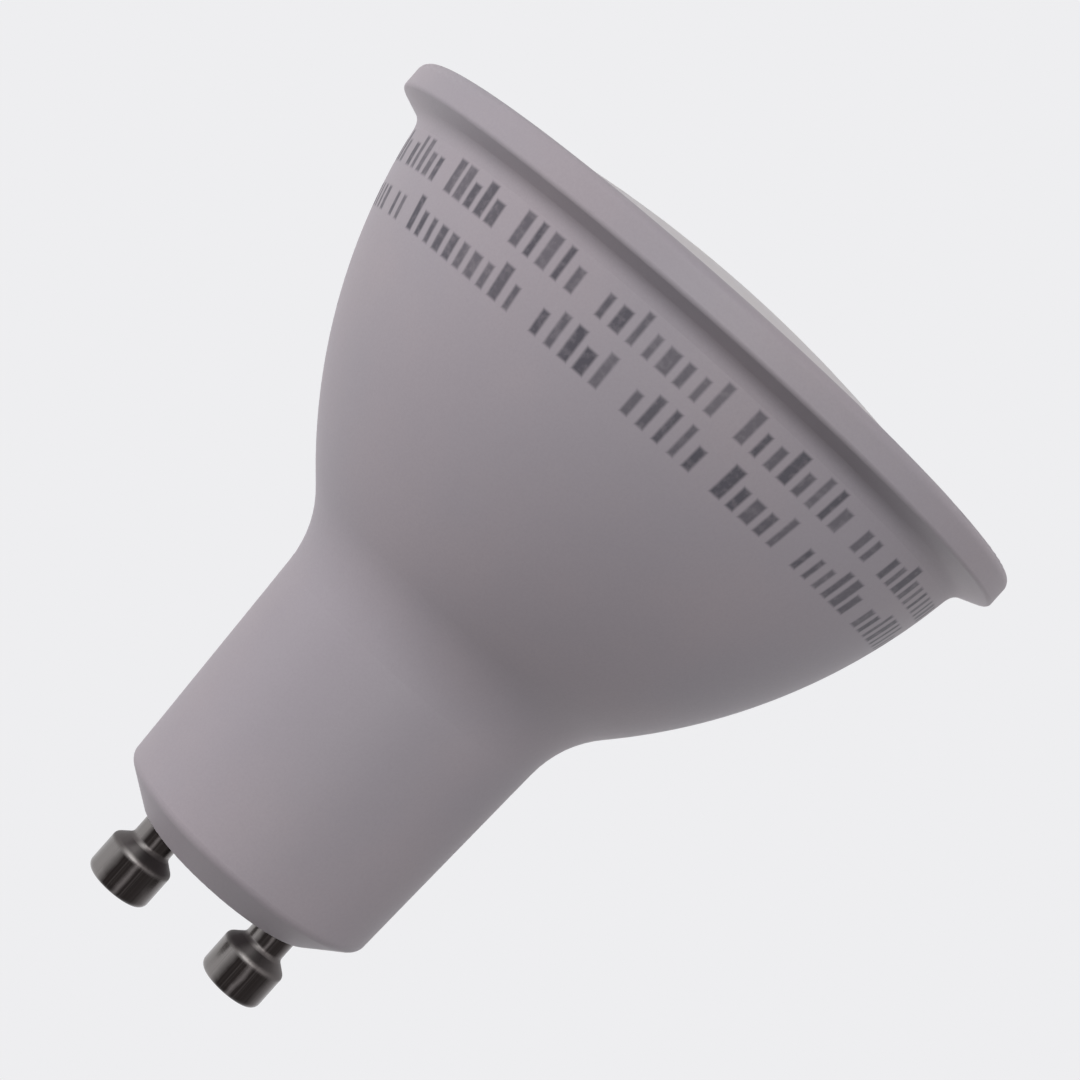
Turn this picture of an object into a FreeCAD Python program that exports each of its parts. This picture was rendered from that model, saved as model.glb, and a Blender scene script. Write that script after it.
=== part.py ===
import FreeCAD, Part
import math
import os

import Sketcher
from FreeCAD import Placement, Rotation, Vector

# Mains spotlight lamp with a twist-lock two-pin base.
# The frame: +Z up, pins up and dome down, as the lamp hangs in a ceiling fitting.
# The origin is the middle of the flat end between the pins, and a depth is measured from there
# down to the dome. The pins stand on the X axis.

# Driving sizes: millimetres, and counts.
SIZES = {
    # Moulded housing, from its flat end to the rim
    "end_radius": 7.2,
    "base_chamfer": 2.1,
    "base_round": 0.8,
    "neck_radius": 10.0,
    "neck_flare": 0.7,
    "throat_radius": 7.8,
    "bell_radius": 41.3,
    "bell_widest_depth": 51.4,
    "rim_depth": 48.55,
    "flange_radius": 25.5,
    "flange_overhang": 2.2,
    "flange_height": 2.95,
    "flange_slant": 0.85,
    "flange_round": 0.7,
    "flange_cove": 1.2,
    "moulded_edge": 0.3,
    "wall": 1.7,
    "end_wall": 2.2,
    "rim_wall": 1.53,
    "rail_length": 12.0,
    "rail_thick": 1.0,
    "rail_grip": 0.9,
    # Milky cover and the seats in the rim
    "cover_ledge": 1.5,
    "cover_land": 0.9,
    "cover_clearance": 0.1,
    "cover_wall": 1.4,
    "dome_land": 1.2,
    "dome_height": 2.7,
    "skirt_length": 2.0,
    "skirt_wall": 1.2,
    "bead_height": 0.25,
    "bead_half": 0.5,
    "bead_drop": 1.0,
    # Pressed heat sink cup
    "cup_wall": 1.0,
    "cup_floor": 1.2,
    "cup_floor_depth": 35.8,
    "cup_gap": 1.0,
    "wire_hole_radius": 2.6,
    # Light source on the cup's floor
    "thermal_pad_thick": 0.4,
    "led_board_thick": 1.0,
    "led_board_gap": 0.8,
    "led_count": 8,
    "led_edge": 6.15,
    "led_length": 3.5,
    "led_width": 2.8,
    "led_height": 0.7,
    "led_window_radius": 1.1,
    "led_window_depth": 0.2,
    "screw_edge": 3.05,
    "screw_radius": 1.0,
    "screw_head_radius": 1.9,
    "screw_head_height": 1.3,
    "screw_head_side": 0.65,
    "screw_head_top": 1.45,
    "screw_tip": 1.0,
    "screw_tip_radius": 0.5,
    "screw_slot": 0.5,
    "screw_slot_depth": 0.6,
    "screw_clearance": 0.15,
    # Contact pins
    "pin_spacing": 10.0,
    "pin_length": 5.7,
    "pin_head_radius": 2.4,
    "pin_head_length": 2.85,
    "pin_head_round": 0.55,
    "pin_shoulder": 0.75,
    "pin_shoulder_round": 0.45,
    "pin_stem_cove": 0.4,
    "pin_stem_radius": 1.5,
    "pin_shank_radius": 1.1,
    "pin_hole_clearance": 0.05,
    "pin_flare_radius": 1.7,
    "pin_flare": 0.5,
    "pin_cup_radius": 0.95,
    "pin_cup_length": 1.6,
    # Leads
    "lead_radius": 0.45,
    "lead_clearance": 0.05,
    "lead_insert": 1.0,
    "lead_rise": 0.7,
    "input_bend": 2.0,
    "led_lead_pitch": 2.4,
    "led_lead_depth": 27.0,
    "led_lead_stub": 0.5,
    "led_lead_bend": 1.5,
    "led_lead_reach": 3.0,
    # Driver board and what is soldered to it
    "board_thick": 1.0,
    "board_offset": 2.7,
    "board_side_gap": 0.25,
    "board_clearance": 0.05,
    "board_end_depth": 30.0,
    "board_corner": 0.8,
    "seat_gap": 0.1,
    "part_gap": 0.8,
    "rail_gap": 0.35,
    "can_radius": 3.15,
    "can_length": 11.0,
    "can_inset": 0.2,
    "can_crimp": 0.35,
    "can_crimp_place": 1.8,
    "choke_radius": 2.2,
    "choke_core_radius": 1.6,
    "choke_height": 6.0,
    "choke_flange": 0.8,
    "film_length": 7.0,
    "film_width": 4.0,
    "film_height": 6.0,
    "film_round": 0.6,
    "resistor_radius": 1.4,
    "resistor_waist": 1.15,
    "resistor_length": 5.0,
    "resistor_cap": 1.1,
    "resistor_shoulder": 0.55,
    "resistor_wire": 0.3,
    "resistor_stub": 1.0,
    "resistor_depth": 3.4,
    "package_standoff": 0.1,
    "package_leg_thick": 0.25,
    "package_leg_reach": 1.0,
    "package_leg_root": 0.3,
    "bridge_length": 4.7,
    "bridge_width": 3.9,
    "bridge_height": 1.6,
    "bridge_leg_width": 0.6,
    "bridge_leg_pitch": 2.5,
    "bridge_depth": 10.0,
    "chip_length": 4.9,
    "chip_width": 3.9,
    "chip_height": 1.5,
    "chip_leg_width": 0.42,
    "chip_leg_pitch": 1.27,
    "chip_gap": 4.0,
}


class Size:
    """A length from the sheet: its number now, and the expression that keeps it bound."""

    def __init__(self, value, text):
        self.value = value
        self.text = text

    def __add__(self, other):
        return Size(self.value + other.value, f"({self.text} + {other.text})")

    def __sub__(self, other):
        return Size(self.value - other.value, f"({self.text} - {other.text})")

    def __neg__(self):
        return Size(-self.value, f"(-1 * {self.text})")

    def __mul__(self, number):
        return Size(self.value * number, f"({self.text} * {number})")

    def __truediv__(self, number):
        return Size(self.value / number, f"({self.text} / {number})")


def size(name):
    """The sheet's size of that name."""
    return Size(SIZES[name], f"Sizes.{name}")


def across(radius, offset):
    """Half the chord of a circle at an offset from its middle."""
    value = math.sqrt(radius.value ** 2 - offset.value ** 2)
    return Size(value, f"sqrt({radius.text} ^ 2 - {offset.text} ^ 2)")


ZERO = Size(0.0, "0")
QUARTER_TURN = 90
FULL_TURN = 360
# A line's or arc's points go by number, and two lengths this close count as one
BEGIN, END, CENTRE = 1, 2, 3
CLOSE = 1e-4

doc = FreeCAD.newDocument("spotlight_lamp")
sheet = doc.addObject("Spreadsheet::Sheet", "Sizes")
for row, (name, number) in enumerate(SIZES.items(), start=1):
    sheet.set(f"A{row}", name)
    sheet.set(f"B{row}", str(number))
    sheet.setAlias(f"B{row}", name)
doc.recompute()

sub_parts = []


def new_body(label):
    """A body of its own, listed as a sub-part."""
    body = doc.addObject("PartDesign::Body", label)
    body.Label = label
    sub_parts.append(body)
    return body


def place(body, x=ZERO, y=ZERO, z=ZERO, rotation=None):
    """Sets a body's turn, and binds its place to the sheet."""
    body.Placement = Placement(Vector(x.value, y.value, z.value), rotation or Rotation())
    for letter, length in zip("xyz", (x, y, z)):
        body.setExpression(f"Placement.Base.{letter}", length.text)


class Outline:
    """A sketch of closed lines and arcs whose corners are bound to the sheet.

    A corner is a pair of sizes. A plain number in a pair is only a first guess, and the sketch's
    other constraints settle that coordinate.
    """

    def __init__(self, body, plane, name, lift=ZERO):
        self.sketch = body.newObject("Sketcher::SketchObject", name)
        role = [item for item in body.Origin.OriginFeatures if item.Role == plane][0]
        self.sketch.AttachmentSupport = [(role, "")]
        self.sketch.MapMode = "FlatFace"
        self.sketch.AttachmentOffset = Placement(Vector(0, 0, lift.value), Rotation())
        self.sketch.setExpression("AttachmentOffset.Base.z", lift.text)
        self.first = None
        self.last = None
        self.here = None

    def rule(self, *terms):
        """Adds one constraint and returns its number."""
        return self.sketch.addConstraint(Sketcher.Constraint(*terms))

    def bind(self, kind, terms, length):
        """Adds a constraint with a value and binds it to the sheet."""
        number = self.rule(kind, *terms, length.value)
        self.sketch.setExpression(f"Constraints[{number}]", length.text)

    def hold(self, point, corner):
        """Binds the coordinates of a point that are sizes."""
        for kind, length in zip(("DistanceX", "DistanceY"), corner):
            if isinstance(length, Size):
                self.bind(kind, (-1, 1) + point, length)

    @staticmethod
    def numbers(corner):
        """A corner's coordinates as a vector of plain numbers."""
        values = [item.value if isinstance(item, Size) else item for item in corner]
        return Vector(values[0], values[1], 0)

    def start(self, *corner):
        """Begins a closed outline at a corner."""
        self.first = None
        self.last = None
        self.here = corner

    def _join(self, edge, begin, end, corner, smooth=False):
        """Joins an edge to the one before it, and holds its far end."""
        if self.last is None:
            self.first = (edge, begin)
            self.hold((edge, begin), self.here)
        else:
            self.rule("Tangent" if smooth else "Coincident", *self.last, edge, begin)
        self.hold((edge, end), corner)
        self.here = corner
        self.last = (edge, end)
        return edge

    def line_to(self, *corner, smooth=False):
        """Draws a line on to a corner."""
        ends = self.numbers(self.here), self.numbers(corner)
        edge = self.sketch.addGeometry(Part.LineSegment(*ends), False)
        return self._join(edge, BEGIN, END, corner, smooth)

    def arc_to(self, turn, *corner, smooth=False):
        """Draws an arc on to a corner: it turns by about that many degrees, left if positive."""
        begin, end = self.numbers(self.here), self.numbers(corner)
        chord = end - begin
        rise = 0.5 / math.tan(math.radians(turn) / 2)
        centre = (begin + end) / 2 + Vector(-chord.y, chord.x, 0) * rise
        angles = [math.atan2(point.y - centre.y, point.x - centre.x) for point in (begin, end)]
        if turn < 0:
            angles.reverse()
        circle = Part.Circle(centre, Vector(0, 0, 1), (begin - centre).Length)
        edge = self.sketch.addGeometry(Part.ArcOfCircle(circle, *angles), False)
        ends = (BEGIN, END) if turn > 0 else (END, BEGIN)
        return self._join(edge, *ends, corner, smooth)

    def close(self):
        """Draws the last line, back to the corner where the outline began."""
        begin, end = (self.sketch.getPoint(*point) for point in (self.last, self.first))
        edge = self.sketch.addGeometry(Part.LineSegment(begin, end), False)
        self.rule("Coincident", *self.last, edge, BEGIN)
        self.rule("Coincident", edge, END, *self.first)

    def circle(self, x, y, radius):
        """Adds a whole circle."""
        ring = Part.Circle(Vector(x.value, y.value, 0), Vector(0, 0, 1), radius.value)
        edge = self.sketch.addGeometry(ring, False)
        self.hold((edge, CENTRE), (x, y))
        self.bind("Radius", (edge,), radius)

    def rectangle(self, low_x, high_x, low_y, high_y):
        """Adds a rectangle between four sizes."""
        self.start(low_x, low_y)
        self.line_to(high_x, low_y)
        self.line_to(high_x, high_y)
        self.line_to(low_x, high_y)
        self.close()

    def polygon(self, corners):
        """Adds a closed outline of straight lines."""
        self.start(*corners[0])
        for corner in corners[1:]:
            self.line_to(*corner)
        self.close()


def revolve(body, outline):
    """Turns an outline round the body's Z axis."""
    turned = body.newObject("PartDesign::Revolution", "Turned")
    turned.Profile = outline.sketch
    turned.ReferenceAxis = (outline.sketch, ["V_Axis"])
    turned.Angle = FULL_TURN
    return turned


def pad(body, outline, length, down=False):
    """Raises an outline from its plane, or lowers it."""
    raised = body.newObject("PartDesign::Pad", "Raised")
    raised.Profile = outline.sketch
    raised.Reversed = down
    raised.setExpression("Length", length.text)
    return raised


def pocket(body, outline, length, up=False):
    """Cuts an outline down from its plane, or up."""
    cut = body.newObject("PartDesign::Pocket", "Cut")
    cut.Profile = outline.sketch
    cut.Reversed = up
    cut.setExpression("Length", length.text)
    return cut


def ring_edges(shape, rings):
    """Names of the circular edges at the given radii and heights."""
    names = []
    for number, edge in enumerate(shape.Edges, start=1):
        curve = edge.Curve
        if not isinstance(curve, Part.Circle):
            continue
        for radius, height in rings:
            level = edge.Vertexes[0].Point.z
            if abs(curve.Radius - radius.value) < CLOSE and abs(level - height.value) < CLOSE:
                names.append(f"Edge{number}")
    return names


def soften(body, base, rings, radius):
    """Rounds a body's circular edges at the given radii and heights."""
    doc.recompute()
    soft = body.newObject("PartDesign::Fillet", "Soft_edges")
    soft.Base = (base, ring_edges(base.Shape, rings))
    soft.setExpression("Radius", radius.text)
    return soft


# Radii and depths that several pieces share
rim_root = size("flange_radius") - size("flange_overhang")
rim_root_depth = size("rim_depth") - size("flange_height")
neck_front = size("neck_radius") + size("neck_flare")
neck_bore = size("neck_radius") - size("wall")
bell_centre = rim_root - across(size("bell_radius"), size("bell_widest_depth") - rim_root_depth)
skirt_bore = rim_root - size("rim_wall")
mouth = skirt_bore + size("cover_land")
cover_seat = size("rim_depth") - size("cover_ledge")
skirt_end = cover_seat - size("skirt_length")
lip_front = skirt_end - size("cover_clearance")
cup_seat = lip_front - size("cup_wall")
bead_depth = cover_seat - size("bead_drop")
skirt_outer = skirt_bore - size("cover_clearance")
floor_back = size("cup_floor_depth")
floor_front = floor_back + size("cup_floor")
pad_front = floor_front + size("thermal_pad_thick")
led_seat = pad_front + size("led_board_thick")
board_front = -size("board_offset")
board_back = board_front - size("board_thick")
board_half = across(neck_bore, size("board_offset") + size("board_thick")) - size("board_side_gap")
rail_inner = board_half - size("rail_grip")
parts_outer = rail_inner - size("rail_gap")
resistor_end = size("resistor_depth") + size("resistor_length") + size("resistor_stub") * 2
parts_depth = resistor_end + size("part_gap")
choke_end = parts_depth + size("choke_radius") * 2
bridge_depth = size("bridge_depth")
chip_depth = bridge_depth + size("bridge_length") / 2 + size("chip_gap") + size("chip_length") / 2


def bell_inside(depth):
    """The bell's inner radius at a depth."""
    inner = size("bell_radius") - size("wall")
    return bell_centre + across(inner, size("bell_widest_depth") - depth)


floor_radius = bell_inside(floor_back) - size("cup_gap")
led_board_radius = floor_radius - size("cup_wall") - size("led_board_gap")
led_ring = led_board_radius - size("led_edge")
screw_place = led_board_radius - size("screw_edge")


def build_housing():
    """The one-piece moulded shell: chamfered base, neck, bell, rim flange and board rails."""
    body = new_body("housing")
    wall = size("wall")
    flange = size("flange_radius")
    flange_back = rim_root_depth + size("flange_slant")
    corner = size("flange_round")
    bead = size("bead_half") + size("cover_clearance")

    # First guesses: the throat's centre, and where the line to it from the bell's centre is crossed
    spread = size("bell_radius") + size("throat_radius")
    sideways = neck_front + size("throat_radius") - bell_centre
    endways = across(spread, sideways)
    throat_lean = math.degrees(math.atan2(endways.value, sideways.value))
    throat_start = (endways - size("bell_widest_depth")).value

    def crossing(radius):
        share = radius.value / spread.value
        return bell_centre.value + share * sideways.value, share * endways.value - SIZES["bell_widest_depth"]

    shell = Outline(body, "XZ_Plane", "Shell")
    shell.start(ZERO, ZERO)
    shell.line_to(size("end_radius"), ZERO)
    shell.line_to(size("neck_radius"), -size("base_chamfer"))
    neck = shell.line_to(neck_front, throat_start)
    throat = shell.arc_to(throat_lean, *crossing(size("bell_radius")), smooth=True)
    bell = shell.arc_to(-throat_lean, rim_root, -rim_root_depth, smooth=True)
    shell.line_to(flange, -flange_back)
    shell.line_to(flange, -size("rim_depth") + corner)
    shell.arc_to(-QUARTER_TURN, flange - corner, -size("rim_depth"), smooth=True)
    shell.line_to(mouth, -size("rim_depth"))
    shell.line_to(mouth, -cover_seat)
    shell.line_to(skirt_bore, -cover_seat)
    shell.line_to(skirt_bore, -bead_depth - bead)
    shell.line_to(skirt_bore + size("bead_height"), -bead_depth)
    shell.line_to(skirt_bore, -bead_depth + bead)
    shell.line_to(skirt_bore, -cup_seat)
    shell.line_to(bell_inside(cup_seat), -cup_seat)
    inner_bell = shell.arc_to(throat_lean, *crossing(size("bell_radius") - wall))
    inner_throat = shell.arc_to(-throat_lean, (neck_front - wall).value, throat_start, smooth=True)
    inner_neck = shell.line_to(neck_bore.value, -size("end_wall"), smooth=True)
    shell.line_to(ZERO, -size("end_wall"))
    shell.close()

    shell.bind("Radius", (throat,), size("throat_radius"))
    shell.hold((bell, CENTRE), (bell_centre, -size("bell_widest_depth")))
    shell.rule("Coincident", bell, CENTRE, inner_bell, CENTRE)
    shell.rule("Coincident", throat, CENTRE, inner_throat, CENTRE)
    shell.rule("Parallel", neck, inner_neck)
    turned = revolve(body, shell)
    edges = soften(body, turned, [(size("end_radius"), ZERO), (flange, -flange_back)], size("moulded_edge"))
    base = soften(body, edges, [(size("neck_radius"), -size("base_chamfer"))], size("base_round"))
    soften(body, base, [(rim_root, -rim_root_depth)], size("flange_cove"))

    rails = Outline(body, "XY_Plane", "Rails", -size("end_wall"))
    anchor = neck_bore + wall / 2
    near_front = board_front + size("board_clearance")
    near_back = board_back - size("board_clearance")
    front_rail = near_front, near_front + size("rail_thick"), across(anchor, near_front)
    back_rail = near_back - size("rail_thick"), near_back, across(anchor, near_back - size("rail_thick"))
    for low, high, reach in (front_rail, back_rail):
        rails.rectangle(rail_inner, reach, low, high)
        rails.rectangle(-reach, -rail_inner, low, high)
    pad(body, rails, size("rail_length"), down=True)

    holes = Outline(body, "XY_Plane", "Pin_holes")
    hole = size("pin_shank_radius") + size("pin_hole_clearance")
    for side in (1, -1):
        holes.circle(size("pin_spacing") / 2 * side, ZERO, hole)
    pocket(body, holes, size("end_wall"))


def cap_turn(height, radius):
    """Degrees that a dome's section turns from its crown to its foot."""
    return 2 * math.degrees(math.atan2(height.value, radius.value))


def build_cover():
    """The milky cover: a shallow dome with a ledge, and a skirt whose bead snaps into the rim."""
    body = new_body("diffuser_cover")
    rim = size("rim_depth")
    outer = mouth - size("cover_clearance")
    skirt_inner = skirt_outer - size("skirt_wall")
    crown = rim + size("dome_height")
    dome_foot = outer - size("dome_land")

    section = Outline(body, "XZ_Plane", "Section")
    section.start(ZERO, -crown)
    dome = section.arc_to(cap_turn(size("dome_height"), dome_foot), dome_foot, -rim)
    section.line_to(outer, -rim)
    section.line_to(outer, -cover_seat)
    section.line_to(skirt_outer, -cover_seat)
    section.line_to(skirt_outer, -bead_depth - size("bead_half"))
    section.line_to(skirt_outer + size("bead_height"), -bead_depth)
    section.line_to(skirt_outer, -bead_depth + size("bead_half"))
    section.line_to(skirt_outer, -skirt_end)
    section.line_to(skirt_inner, -skirt_end)
    section.line_to(skirt_inner, -cover_seat)
    hollow = crown - size("cover_wall") - cover_seat
    inside = section.arc_to(-cap_turn(hollow, skirt_inner), ZERO, -cover_seat - hollow)
    section.close()
    for arc in (dome, inside):
        section.rule("PointOnObject", arc, CENTRE, -2)
    revolve(body, section)


def cut_fixing_holes(body, plane_depth, thickness, screw_hole):
    """Cuts the wire hole and the two screw holes through a disc that lies at a depth."""
    holes = Outline(body, "XY_Plane", "Fixing_holes", -plane_depth)
    holes.circle(ZERO, ZERO, size("wire_hole_radius"))
    for side in (1, -1):
        holes.circle(screw_place * side, ZERO, screw_hole)
    pocket(body, holes, thickness)


def build_cup():
    """The pressed aluminium cup whose lip sits on the step inside the rim."""
    body = new_body("heat_sink_cup")
    wall = size("cup_wall")
    mouth_outer = bell_inside(cup_seat) - size("cup_gap")

    section = Outline(body, "XZ_Plane", "Section")
    section.polygon([
        (ZERO, -floor_back),
        (floor_radius, -floor_back),
        (mouth_outer, -cup_seat),
        (skirt_outer, -cup_seat),
        (skirt_outer, -lip_front),
        (mouth_outer - wall, -lip_front),
        (floor_radius - wall, -floor_front),
        (ZERO, -floor_front),
    ])
    revolve(body, section)
    cut_fixing_holes(body, floor_back, size("cup_floor"), size("screw_radius"))


def build_disc(label, back, thickness):
    """A flat round layer on the cup's floor, with the wire hole and screw holes."""
    body = new_body(label)
    disc = Outline(body, "XY_Plane", "Disc", -back)
    disc.circle(ZERO, ZERO, led_board_radius)
    pad(body, disc, thickness, down=True)
    cut_fixing_holes(body, back, thickness, size("screw_radius") + size("screw_clearance"))


def build_leds():
    """The ring of light-emitting packages, each with a round sunk window."""
    half_width = size("led_width") / 2
    half_length = size("led_length") / 2
    count = SIZES["led_count"]
    for number in range(count):
        body = new_body(f"led_{number + 1}")
        case = Outline(body, "XY_Plane", "Case")
        case.rectangle(-half_width, half_width, -half_length, half_length)
        pad(body, case, size("led_height"), down=True)
        window = Outline(body, "XY_Plane", "Window", -size("led_height"))
        window.circle(ZERO, ZERO, size("led_window_radius"))
        pocket(body, window, size("led_window_depth"), up=True)
        angle = FULL_TURN * (2 * number + 1) / (2 * count)
        x = Size(led_ring.value * math.cos(math.radians(angle)), f"{led_ring.text} * cos({angle} deg)")
        y = Size(led_ring.value * math.sin(math.radians(angle)), f"{led_ring.text} * sin({angle} deg)")
        place(body, x, y, -led_seat, Rotation(Vector(0, 0, 1), angle))


def build_screws():
    """Two pan-head screws that hold the light board and its pad to the cup."""
    head = size("screw_head_radius")
    height = size("screw_head_height")
    grip = size("led_board_thick") + size("thermal_pad_thick") + size("cup_floor")
    screws = []
    for side, name in ((1, "Screw_right"), (-1, "Screw_left")):
        body = doc.addObject("PartDesign::Body", name)
        section = Outline(body, "XZ_Plane", "Section")
        section.polygon([
            (ZERO, -height),
            (size("screw_head_top"), -height),
            (head, -size("screw_head_side")),
            (head, ZERO),
            (size("screw_radius"), ZERO),
            (size("screw_radius"), grip),
            (size("screw_tip_radius"), grip + size("screw_tip")),
            (ZERO, grip + size("screw_tip")),
        ])
        revolve(body, section)
        slot = Outline(body, "XY_Plane", "Slot", -height)
        slot.rectangle(-head, head, -size("screw_slot") / 2, size("screw_slot") / 2)
        pocket(body, slot, size("screw_slot_depth"), up=True)
        place(body, screw_place * side, ZERO, -led_seat)
        screws.append(body)
    pair = doc.addObject("Part::Compound", "board_screws")
    pair.Label = "board_screws"
    pair.Links = screws
    sub_parts.append(pair)


def build_pins():
    """The two turned contact pins, each riveted through the end wall, with a cup for its lead."""
    tall = size("pin_length")
    head = size("pin_head_radius")
    corner = size("pin_head_round")
    stem = size("pin_stem_radius")
    shank = size("pin_shank_radius")
    flare = size("pin_flare_radius")
    cup = size("pin_cup_radius")
    bore = size("lead_radius") + size("lead_clearance")
    head_foot = tall - size("pin_head_length")
    shoulder_foot = head_foot - size("pin_shoulder")
    inside = -size("end_wall")
    flare_end = inside - size("pin_flare")
    tail = flare_end - size("pin_cup_length")
    for side, name in ((1, "right"), (-1, "left")):
        body = new_body(f"contact_pin_{name}")
        section = Outline(body, "XZ_Plane", "Section")
        section.start(ZERO, tall)
        section.line_to(ZERO, tail + size("lead_insert"))
        section.line_to(bore, tail + size("lead_insert"))
        section.line_to(bore, tail)
        section.line_to(cup, tail)
        section.line_to(cup, flare_end)
        section.line_to(flare, flare_end)
        section.line_to(flare, inside)
        section.line_to(shank, inside)
        section.line_to(shank, ZERO)
        section.line_to(stem, ZERO)
        section.line_to(stem, shoulder_foot)
        section.line_to(head, head_foot)
        section.line_to(head, tall - corner)
        section.arc_to(QUARTER_TURN, head - corner, tall, smooth=True)
        section.close()
        turned = revolve(body, section)
        shoulder = soften(body, turned, [(head, head_foot)], size("pin_shoulder_round"))
        soften(body, shoulder, [(stem, shoulder_foot)], size("pin_stem_cove"))
        place(body, size("pin_spacing") / 2 * side)


def sweep_lead(body, path, profile):
    """Sweeps a round lead along its path."""
    doc.recompute()
    lead = body.newObject("PartDesign::AdditivePipe", "Lead")
    lead.Profile = profile.sketch
    edges = [f"Edge{number + 1}" for number in range(path.sketch.GeometryCount)]
    lead.Spine = (path.sketch, edges)


class Route(Outline):
    """An open run of lines and arcs that a lead follows, in the plane across the board."""

    def __init__(self, body, *corner):
        super().__init__(body, "YZ_Plane", "Path")
        self.start(*corner)


def build_input_leads():
    """The leads from the pins' cups to the driver board."""
    tail = size("end_wall") + size("pin_flare") + size("pin_cup_length")
    top = tail - size("lead_insert")
    bend_top = tail + size("lead_rise")
    bend = size("input_bend")
    for side, name in ((1, "right"), (-1, "left")):
        body = new_body(f"input_lead_{name}")
        path = Route(body, ZERO, -top)
        path.line_to(ZERO, -bend_top)
        path.arc_to(-QUARTER_TURN, -bend, -bend_top - bend, smooth=True)
        path.line_to(board_front, -bend_top - bend)
        profile = Outline(body, "XY_Plane", "Wire", -top)
        profile.circle(ZERO, ZERO, size("lead_radius"))
        sweep_lead(body, path, profile)
        place(body, size("pin_spacing") / 2 * side)


def build_led_leads():
    """The leads from the driver board, through the cup's floor, on to the light board."""
    depth = size("led_lead_depth")
    bend = size("led_lead_bend")
    leave = board_front + size("led_lead_stub")
    run = leave + bend
    lying = led_seat + size("lead_radius")
    for side, name in ((1, "positive"), (-1, "negative")):
        body = new_body(f"led_lead_{name}")
        path = Route(body, board_front, -depth)
        path.line_to(leave, -depth)
        path.arc_to(-QUARTER_TURN, run, -depth - bend, smooth=True)
        path.line_to(run, -lying + bend)
        path.arc_to(QUARTER_TURN, run + bend, -lying, smooth=True)
        path.line_to(run + bend + size("led_lead_reach"), -lying)
        profile = Outline(body, "XZ_Plane", "Wire", size("board_offset"))
        profile.circle(ZERO, -depth, size("lead_radius"))
        sweep_lead(body, path, profile)
        place(body, size("led_lead_pitch") / 2 * side)


def on_board(body, x, depth, back=False):
    """Seats a piece, built upwards from its foot, on the front or back face of the driver board."""
    face = board_back if back else board_front
    turn = QUARTER_TURN if back else -QUARTER_TURN
    place(body, x, face, -depth, Rotation(Vector(1, 0, 0), turn))


def along_board(body, x, depth, radius):
    """Lays a turned piece along the front face of the driver board."""
    turn = Rotation(Vector(1, 0, 0), FULL_TURN / 2)
    place(body, x, board_front + radius + size("seat_gap"), -depth, turn)


def build_driver_board():
    """The driver board: a strip that slides in between the neck's rails, with its foremost corners cut."""
    body = new_body("driver_board")
    corner = size("board_corner")
    top = -size("end_wall")
    end = -size("board_end_depth")
    plate = Outline(body, "XZ_Plane", "Plate", size("board_offset"))
    half = [(board_half, top), (board_half, end + corner), (board_half - corner, end)]
    plate.polygon(half + [(-x, z) for x, z in reversed(half)])
    pad(body, plate, size("board_thick"))


def build_electrolytic():
    """The smoothing capacitor: a can with a crimped groove near its foot."""
    body = new_body("electrolytic_capacitor")
    radius = size("can_radius")
    crimp = size("can_crimp")
    groove = size("can_crimp_place")
    length = size("can_length")
    section = Outline(body, "XZ_Plane", "Section")
    section.polygon([
        (ZERO, ZERO),
        (radius - crimp, ZERO),
        (radius, crimp),
        (radius, groove - crimp),
        (radius - crimp, groove),
        (radius, groove + crimp),
        (radius, length - crimp),
        (radius - crimp, length),
        (ZERO, length),
    ])
    revolve(body, section)
    along_board(body, radius + size("can_inset"), parts_depth, radius)


def build_choke():
    """The output choke: a ferrite drum with its winding between two flanges."""
    body = new_body("choke_inductor")
    radius = size("choke_radius")
    winding = size("choke_core_radius")
    flange = size("choke_flange")
    height = size("choke_height")
    section = Outline(body, "XZ_Plane", "Section")
    section.polygon([
        (ZERO, ZERO),
        (radius, ZERO),
        (radius, flange),
        (winding, flange),
        (winding, height - flange),
        (radius, height - flange),
        (radius, height),
        (ZERO, height),
    ])
    revolve(body, section)
    on_board(body, radius - parts_outer, parts_depth + radius)


def build_film_capacitor():
    """The box-cased film capacitor, with rounded upright edges."""
    body = new_body("film_capacitor")
    x = size("film_width") / 2
    y = size("film_length") / 2
    corner = size("film_round")
    case = Outline(body, "XY_Plane", "Case")
    case.start(ZERO, -y)
    corners = [
        ((x - corner, -y), (x, -y + corner)),
        ((x, y - corner), (x - corner, y)),
        ((-x + corner, y), (-x, y - corner)),
        ((-x, -y + corner), (-x + corner, -y)),
    ]
    for line_end, arc_end in corners:
        case.line_to(*line_end)
        case.arc_to(QUARTER_TURN, *arc_end, smooth=True)
    case.close()
    pad(body, case, size("film_height"))
    on_board(body, x - parts_outer, choke_end + size("part_gap") + y)


def build_resistor():
    """The fusible resistor: a waisted body with a cap and a wire stub at each end."""
    body = new_body("fusible_resistor")
    wire = size("resistor_wire")
    radius = size("resistor_radius")
    waist_radius = size("resistor_waist")
    stub = size("resistor_stub")
    cap = size("resistor_cap")
    shoulder = size("resistor_shoulder")
    end = stub + size("resistor_length")
    section = Outline(body, "XZ_Plane", "Section")
    section.polygon([
        (ZERO, ZERO),
        (wire, ZERO),
        (wire, stub),
        (radius, stub),
        (radius, stub + cap),
        (waist_radius, stub + cap + shoulder),
        (waist_radius, end - cap - shoulder),
        (radius, end - cap),
        (radius, end),
        (wire, end),
        (wire, end + stub),
        (ZERO, end + stub),
    ])
    revolve(body, section)
    along_board(body, ZERO, size("resistor_depth"), radius)


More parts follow.
